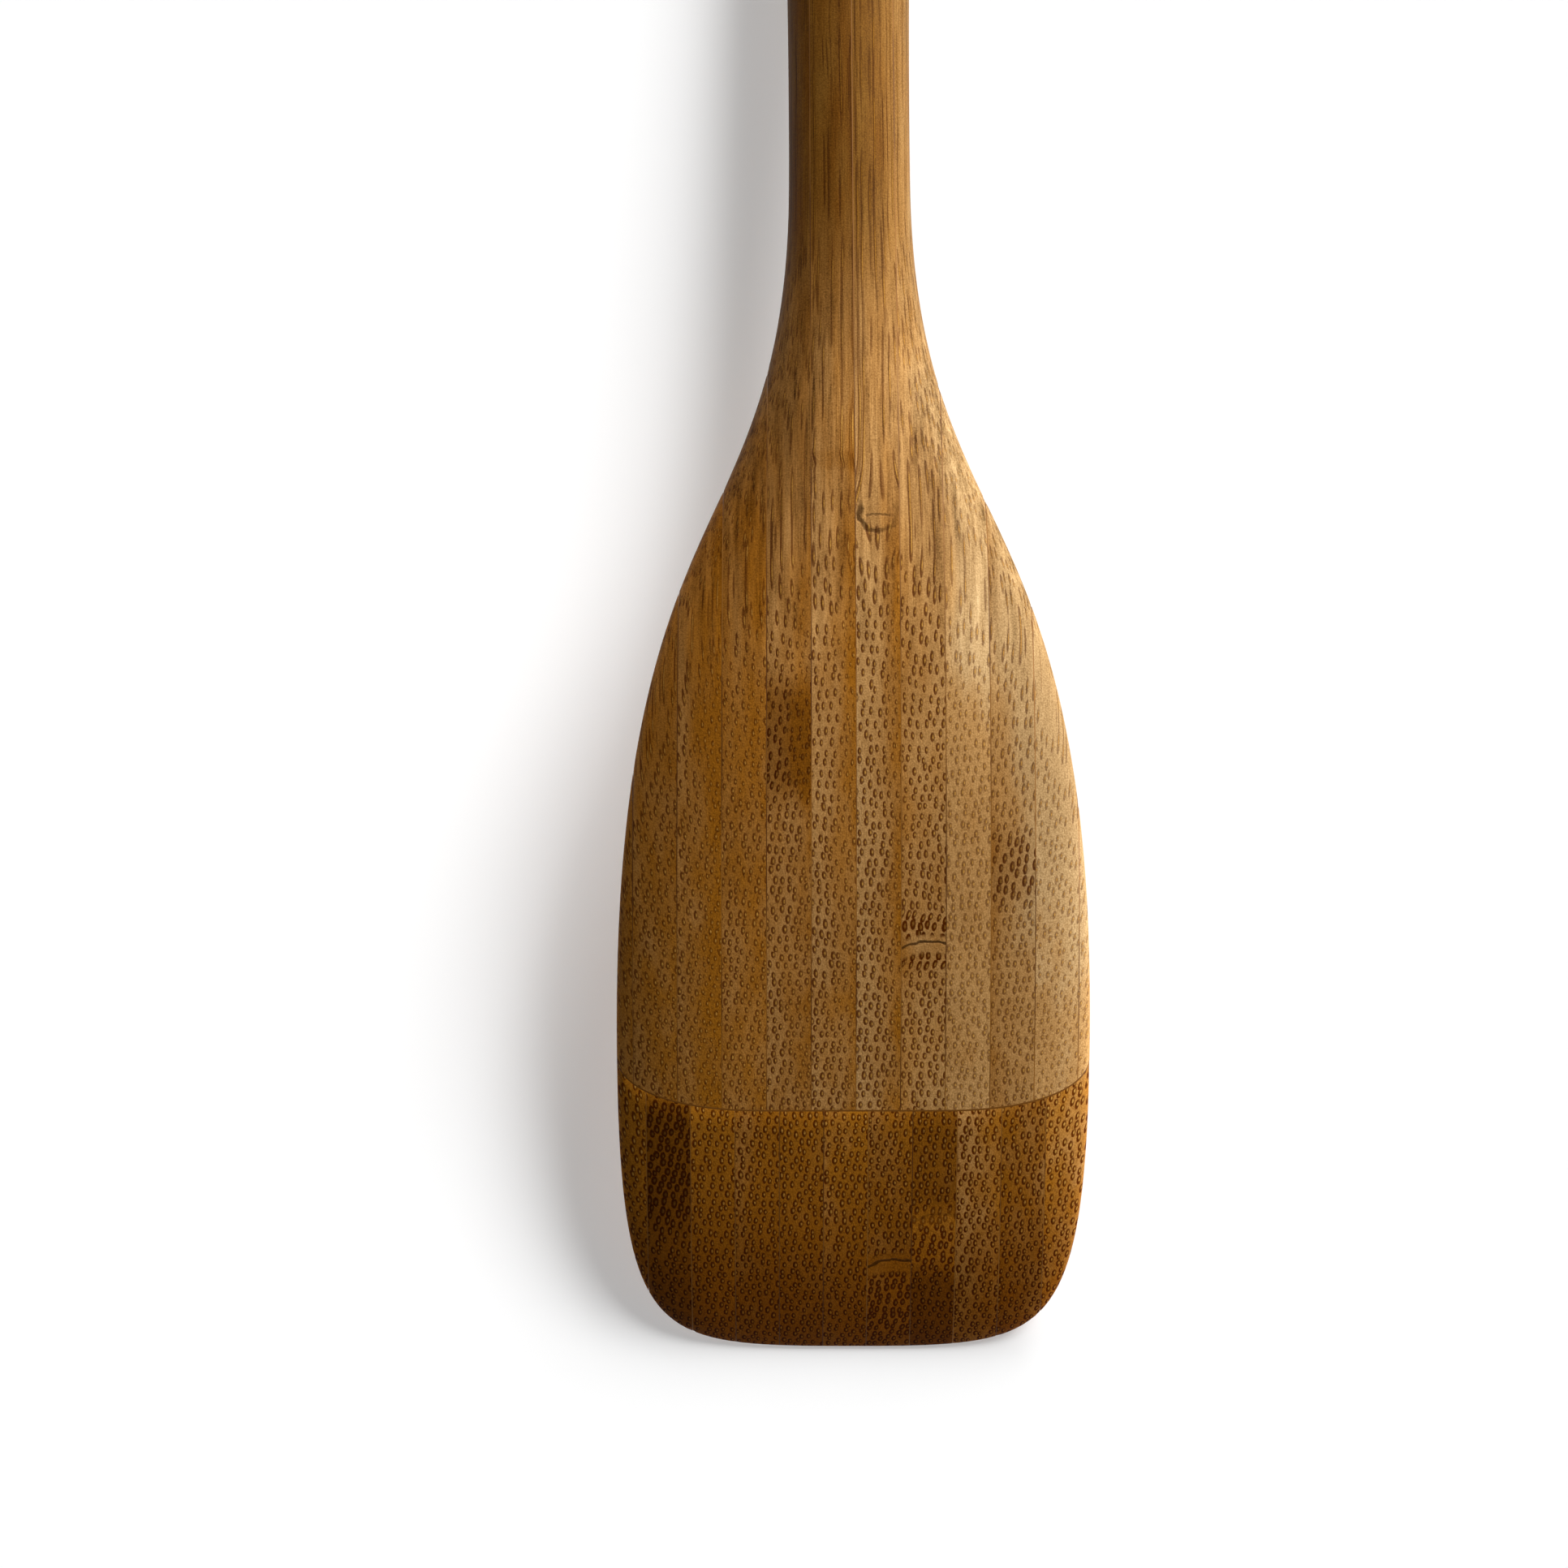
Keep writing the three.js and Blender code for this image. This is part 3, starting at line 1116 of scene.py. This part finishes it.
        # The inner side of the stem is pale with wide bundles, the outer side warm with fine ones, and a
        # painted sheen lies below the pale wood on the right shoulder, right flank and the handle's
        # right side
        zone = self.warmth.zone(place, patch, shade)
        outer = zone.rise(*self.outer) * recipe.attribute("fade")
        ring, core = self.wide.draw(place, marks, x, row, outer)
        fine_ring, fine_painted_highlight = self.fine.draw(place, marks, x, row, outer)
        # Warmth below 0 takes the painted sheen colour
        wood = recipe.mix(zone.rise(*self.painted_sheen_zone), self.painted_sheen, self.pale)
        wood = recipe.mix(zone.rise(*self.warm_zone), wood, self.warm)
        # Bundles, darker on their left as painted shade and lighter on their right as painted highlights
        wood = recipe.mix(fine_ring, wood, self.ring)
        wood = recipe.mix(fine_painted_highlight * self.fine_painted_highlight_share, wood, self.core)
        wood = recipe.mix(ring, wood, self.ring)
        wood = recipe.mix(core * self.core_share, wood, self.core)

        # Tone with its painted light and painted shade, painted shade on the handle and at the front
        # edge, and the dark lines
        fibre = self.fibre.noise(place, 0)
        grit = recipe.noise(place.block, self.grit_scale, self.grit_detail)
        light = self.tone.light(place, shade, fibre, grit)
        wood = recipe.mix(1.0, wood, self.tone.tint_by_tone(light), "MULTIPLY")
        # Painted shade over the handle, less of it on the right side
        saved = place.x.rise(*self.grip_painted_light_side) * self.grip_right_saving
        grip_shaded = place.y.rise(*self.grip_painted_shade_along) * (1 - saved)
        wood = recipe.mix(grip_shaded, wood, self.grip_painted_shade, "MULTIPLY")
        # Painted shade at the front edge
        wood = recipe.mix(place.y.fall(*self.tip_painted_shade_along), wood, self.tip_painted_shade, "MULTIPLY")
        wood = recipe.mix(marks.line.most(marks.loop) * self.line_share, wood, self.stroke)
        wood = recipe.mix(self.stain(place), wood, self.stroke)

        height = (core + fine_painted_highlight) * self.core_height - ring * self.ring_depth
        height = height + fibre * self.fibre_height + grit * self.grit_height
        height = height - (marks.line + marks.loop) * self.line_depth
        inputs = {"Strength": 1.0, "Distance": MM, "Height": height}
        bump = recipe.node("ShaderNodeBump", {}, inputs)
        rough = self.roughness + grit.swing() * self.grit_roughness + ring * self.ring_roughness
        return recipe.finish(
            {"Base Color": wood, "Roughness": rough, "Normal": bump, "Specular IOR Level": self.shine}
        )


@dataclass(frozen=True)
class GlueFinish:
    """Dark glue that comes and goes along a joint."""

    name: str
    dark: Colour = colour(84, 46, 10)
    faint: Colour = colour(138, 90, 32)
    roughness: float = 0.5
    shine: float = 0.2
    patch_scale: float = 40
    patch: Span = (0.42, 0.62)
    grit_scale: float = 5000
    grit_roughness: float = 0.2
    grit_detail: float = 1

    def material(self) -> bpy.types.Material:
        """Builds the material."""
        recipe = Recipe(self.name)
        place = recipe.node("ShaderNodeTexCoord", {}, {}, "Object")
        seed = recipe.attribute("seed")
        _, y, z = recipe.split(place)
        spot = recipe.join(seed, y * self.patch_scale, z * self.patch_scale)
        patch = recipe.noise(spot, 1.0).rise(*self.patch)
        grit = recipe.noise(place, self.grit_scale, self.grit_detail)
        rough = self.roughness + grit.swing() * self.grit_roughness
        return recipe.finish(
            {
                "Base Color": recipe.mix(patch, self.faint, self.dark),
                "Roughness": rough,
                "Specular IOR Level": self.shine,
            }
        )


@dataclass
class Spatula:
    """The glued and carved spatula: its strips, its edge glue lines and its ply glue line."""

    shape: CarvedShape
    block: Lamination
    halvings: int = 44
    row_samples: int = 200001
    merge_distance: float = 2e-7
    sliver_distance: float = 1e-8
    crease: float = math.radians(40)

    def joint_row(
        self, bar: Bar, rows: tuple[float, float], share: Array, face: Face, depth: float
    ) -> Array:
        """Finds, by halving, the row at which each column of a face reaches a depth of the block.

        Args:
            bar: The bar.
            rows: The bar's first and last row.
            share: Place of each column across the bar.
            face: Which face.
            depth: Height in the block's frame.

        Returns:
            A row for each column.
        """
        low = np.full(share.shape, rows[0])
        high = np.full(share.shape, rows[1])
        for _ in range(self.halvings):
            middle = (low + high) / 2
            z = self.shape.surface(middle, bar.left, bar.right, share, face)[..., 2]
            low = np.where(z < depth, middle, low)
            high = np.where(z < depth, high, middle)
        return (low + high) / 2

    def row_span(self, bar: Bar) -> tuple[float, float]:
        """Finds the rows between which the outline reaches out to a bar.

        Args:
            bar: The bar.

        Returns:
            Its first and last row.
        """
        inner = 0.0 if bar.left < 0 < bar.right else min(abs(bar.left), abs(bar.right))
        rows = np.linspace(0, self.shape.last_row(), self.row_samples)
        wide = np.flatnonzero(self.shape.outline(rows)[0] >= inner)
        return float(rows[wide[0]]), float(rows[wide[-1]])

    def shell(self, bar: Bar, bottom: float | None, top: float | None) -> tuple[Array, int, int]:
        """Works out a carved bar's points as rings, over its top face and back under it.

        Every ring holds the top face's columns from left to right and then the underside's back
        again. Along the bar each column runs evenly from where its face meets the lower joint, or
        from the outline, to the upper joint, or the outline again.

        Args:
            bar: The bar.
            bottom: Height at which the bar starts, or none for the outline.
            top: Height at which the bar stops, or none for the outline.

        Returns:
            Points in the block's frame ring by ring, the count of rings and the points in each.
        """
        rows = self.row_span(bar)
        share = np.linspace(0, 1, bar.columns + 1)
        ends = {}
        for face in Face:
            start = np.full(share.shape, rows[0])
            stop = np.full(share.shape, rows[1])
            if bottom is not None:
                start = self.joint_row(bar, rows, share, face, bottom)
            if top is not None:
                stop = self.joint_row(bar, rows, share, face, top)
            ends[face] = (start, stop)
        count = max(2, math.ceil(float(np.max(ends[Face.TOP][1] - ends[Face.TOP][0]))))
        back = np.linspace(0, 1, count + 1)[:, None]
        halves = []
        for face, (start, stop) in ends.items():
            row = start + (stop - start) * back
            columns = np.broadcast_to(share, row.shape)
            halves.append(self.shape.surface(row, bar.left, bar.right, columns, face))
        rings = np.concatenate([halves[0], halves[1][:, ::-1]], axis=1)
        return rings.reshape(-1, 3), count + 1, rings.shape[1]

    def piece(self, bar: Bar, bottom: float | None, top: float | None) -> bpy.types.Object:
        """Builds one carved bar as a closed mesh that stands for its solid.

        Args:
            bar: The bar.
            bottom: Height at which the bar starts, or none for the outline.
            top: Height at which the bar stops, or none for the outline.

        Returns:
            The mesh object, riding on the part's one body.
        """
        points, rings, around = self.shell(bar, bottom, top)
        first = (np.arange(rings - 1) * around)[:, None] + np.arange(around)
        turn = (np.arange(rings - 1) * around)[:, None] + (np.arange(around) + 1) % around
        sides = np.stack([first, turn, turn + around, first + around], axis=-1).reshape(-1, 4)
        half = np.arange(around // 2 - 1)
        cap = np.stack([half, around - 1 - half, around - 2 - half, half + 1], axis=-1)
        far_cap = cap[:, ::-1] + (rings - 1) * around
        quads = np.concatenate([sides, cap, far_cap])
        mesh = bpy.data.meshes.new(bar.node + "_carved")
        mesh.from_pydata(self.shape.to_world(points), [], quads.tolist())
        self.close(mesh)
        self.mark(mesh, bar)
        made = bpy.data.objects.new(bar.node + "_carved", mesh)
        bpy.context.scene.collection.objects.link(made)
        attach(made, "root")
        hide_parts(bar.node)
        return made

    def close(self, mesh: bpy.types.Mesh) -> None:
        """Merges points that meet at the rim, drops the faces this closes and turns all outward."""
        work = bmesh.new()
        work.from_mesh(mesh)
        bmesh.ops.remove_doubles(work, verts=work.verts, dist=self.merge_distance)
        bmesh.ops.dissolve_degenerate(work, dist=self.sliver_distance, edges=work.edges)
        bmesh.ops.recalc_face_normals(work, faces=work.faces)
        work.to_mesh(mesh)
        work.free()
        mesh.shade_smooth()
        mesh.set_sharp_from_angle(angle=self.crease)

    @staticmethod
    def mark(mesh: bpy.types.Mesh, bar: Bar) -> None:
        """Gives a mesh the numbers that its finish reads: its timber, stem joint and place across.

        Args:
            mesh: The bar's mesh.
            bar: The bar.
        """
        count = len(mesh.vertices)
        places = np.empty(count * 3)
        mesh.vertices.foreach_get("co", places)
        across = (places[::3] / MM - bar.left) / (bar.right - bar.left)
        timber, culm = bar.timber, bar.timber.culm
        warm = timber.warm_left + (timber.warm_right - timber.warm_left) * across
        steady = {
            "tone": timber.tone,
            "seed": bar.seed,
            "culm_at": culm.at,
            "culm_reach": culm.reach,
            "culm_strokes": culm.strokes,
            "culm_crack": culm.crack,
            "culm_shade": culm.shade,
            "culm_loop": culm.loop,
            "culm_line": culm.line,
            "bundle": timber.bundle,
            "fade": timber.fade,
            "ink": timber.ink,
        }
        numbers = {"across": across, "warm": warm}
        numbers.update({name: np.full(count, value) for name, value in steady.items()})
        for name, values in numbers.items():
            mesh.attributes.new(name, "FLOAT", "POINT").data.foreach_set("value", values)

    def build(self) -> None:
        """Builds and dresses every piece."""
        bamboo = BambooFinish().material(self.shape)
        edge_glue = GlueFinish("edge_glue").material()
        ply_glue = GlueFinish("ply_glue", colour(94, 54, 12), colour(116, 71, 18)).material()
        half = self.block.glue / 2
        over = half - self.block.joint_depth
        under = -half - self.block.joint_depth
        spans = {"upper": (over, None), "lower": (None, under)}
        for ply, (bottom, top) in spans.items():
            for bar in self.block.strips(ply):
                self.dress(self.piece(bar, bottom, top), bamboo, f"{ply}_bamboo")
            for bar in self.block.glue_lines(ply):
                self.dress(self.piece(bar, bottom, top), edge_glue, "edge_glue")
        reach = self.shape.blade_half + self.block.joint_margin
        joint = Bar("ply_glue_line", -reach, reach, self.block.joint_columns)
        self.dress(self.piece(joint, under, over), ply_glue, "ply_glue")

    @staticmethod
    def dress(piece: bpy.types.Object, finish: bpy.types.Material, slot: str) -> None:
        """Puts a finish on a piece."""
        piece.data.materials.append(finish)
        LOG.info("%s: %d faces", piece.name, len(piece.data.polygons))


@dataclass(frozen=True)
class Lamp:
    """A soft lamp, so far away that it lights the whole table evenly.

    Attributes:
        name: The lamp's name.
        bearing: Degrees from the right of the picture towards its top.
        height: Degrees above the table.
        level: Share of the light that it throws on the table.
        spread: Degrees across it as seen from the table.
        casts_shadow: Whether it throws shadows.
    """

    name: str
    bearing: float
    height: float
    level: float
    spread: float
    casts_shadow: bool

    def build(self) -> None:
        """Places the lamp: a white table reflects the light on it over pi, so pi of it is full white."""
        turn, lift = math.radians(self.bearing), math.radians(self.height)
        heading = (math.cos(lift) * math.cos(turn), math.cos(lift) * math.sin(turn), math.sin(lift))
        data = bpy.data.lights.new(self.name, "SUN")
        data.energy = self.level * math.pi / math.sin(lift)
        data.angle = math.radians(self.spread)
        data.use_shadow = self.casts_shadow
        made = bpy.data.objects.new(self.name, data)
        made.location = heading
        made.rotation_euler = (-made.location).to_track_quat("-Z", "Y").to_euler()
        bpy.context.scene.collection.objects.link(made)


@dataclass(frozen=True)
class Studio:
    """The table, the lamps and the camera."""

    camera_place: tuple[float, float, float] = (-0.00937, -0.1757, 0.43405)
    camera_tilt: float = math.radians(11.78)
    lens: float = 70.54
    sensor: float = 36
    nearest: float = 0.01
    floor_size: float = 80
    table_colour: Colour = (0.98, 0.98, 0.98, 1)
    sky_level: float = 0.02
    lamps: tuple[Lamp, ...] = (
        Lamp("key", 46, 43, 0.44, 28, True),
        Lamp("side", 5, 12, 0.25, 20, False),
        Lamp("top", 70, 31, 0.16, 16, True),
        Lamp("back", 85, 13, 0.17, 16, False),
    )

    def camera(self) -> None:
        """Places the camera over the blade, handle upwards in the picture."""
        lens = bpy.data.cameras.new("camera")
        lens.lens = self.lens
        lens.sensor_width = self.sensor
        lens.clip_start = self.nearest
        made = bpy.data.objects.new("camera", lens)
        made.location = self.camera_place
        made.rotation_euler = (self.camera_tilt, 0, 0)
        bpy.context.scene.collection.objects.link(made)
        bpy.context.scene.camera = made

    def floor(self) -> None:
        """Lays a plain white table under the spatula, clear from below to show the underside."""
        half = self.floor_size / 2
        corners = np.array([[-1, -1, 0], [1, -1, 0], [1, 1, 0], [-1, 1, 0]]) * half
        mesh = bpy.data.meshes.new("table")
        mesh.from_pydata(corners, [], [(0, 1, 2, 3)])
        recipe = Recipe("white_table")
        from_below = recipe.node("ShaderNodeNewGeometry", {}, {}, "Backfacing")
        finish = {
            "Base Color": self.table_colour,
            "Roughness": 1.0,
            "Specular IOR Level": 0.0,
            "Alpha": 1 - from_below,
        }
        mesh.materials.append(recipe.finish(finish))
        made = bpy.data.objects.new("table", mesh)
        bpy.context.scene.collection.objects.link(made)

    def light(self) -> None:
        """Lights the table from the right and the handle's end, under a dim even sky."""
        world = bpy.data.worlds.new("sky")
        world.use_nodes = True
        sky = world.node_tree.nodes["Background"]
        sky.inputs["Color"].default_value = (1, 1, 1, 1)
        sky.inputs["Strength"].default_value = self.sky_level
        bpy.context.scene.world = world
        for lamp in self.lamps:
            lamp.build()

    def build(self) -> None:
        """Sets up the view."""
        bpy.context.scene.view_settings.view_transform = "Standard"
        self.camera()
        self.floor()
        self.light()


def main() -> None:
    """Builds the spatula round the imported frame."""
    logging.basicConfig(level=logging.INFO, format="%(name)s %(message)s")
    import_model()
    Studio().build()
    Spatula(CarvedShape(), Lamination()).build()


if __name__ == "__main__":
    main()
